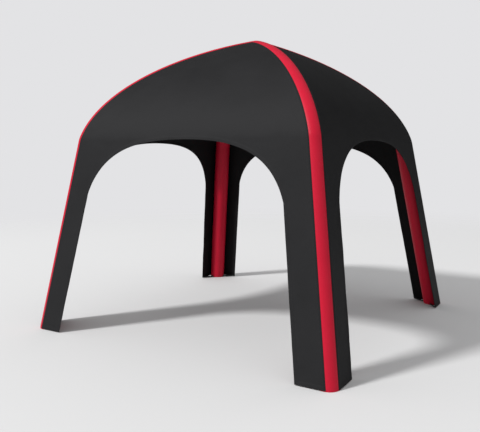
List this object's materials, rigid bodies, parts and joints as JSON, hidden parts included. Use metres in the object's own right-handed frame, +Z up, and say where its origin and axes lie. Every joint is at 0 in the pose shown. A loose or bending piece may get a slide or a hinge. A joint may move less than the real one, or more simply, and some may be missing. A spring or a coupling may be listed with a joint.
{
  "type": "inflatable pavilion",
  "caption": "Inflatable dome pavilion: air tubes rise from the corners to a pointed crown, and taut cloth sides with arched doorways close the roof between them.",
  "frame": {"origin": "on the floor under the crown, at the middle of the square footprint", "axes": "+Z up through the crown, -Y out of the front doorway, +X out of the right doorway"},
  "size_m": [3.0104, 3.0104, 2.7249],
  "materials": {
    "sleeve_red": "satin coated polyester sleeve, red",
    "canopy_black": "matt coated polyester canopy cloth, black",
    "webbing_black": "matt woven webbing, black"
  },
  "bodies": {
    "root": {"air_tube_front_right": "sleeve_red", "air_tube_back_right": "sleeve_red", "air_tube_back_left": "sleeve_red", "air_tube_front_left": "sleeve_red", "side_front": "canopy_black", "side_right": "canopy_black", "side_back": "canopy_black", "side_left": "canopy_black", "foot_strap_right_of_front": "webbing_black", "foot_strap_right_of_right": "webbing_black", "foot_strap_right_of_back": "webbing_black", "foot_strap_right_of_left": "webbing_black", "foot_strap_left_of_front": "webbing_black", "foot_strap_left_of_right": "webbing_black", "foot_strap_left_of_back": "webbing_black", "foot_strap_left_of_left": "webbing_black"}
  },
  "joints": []
}
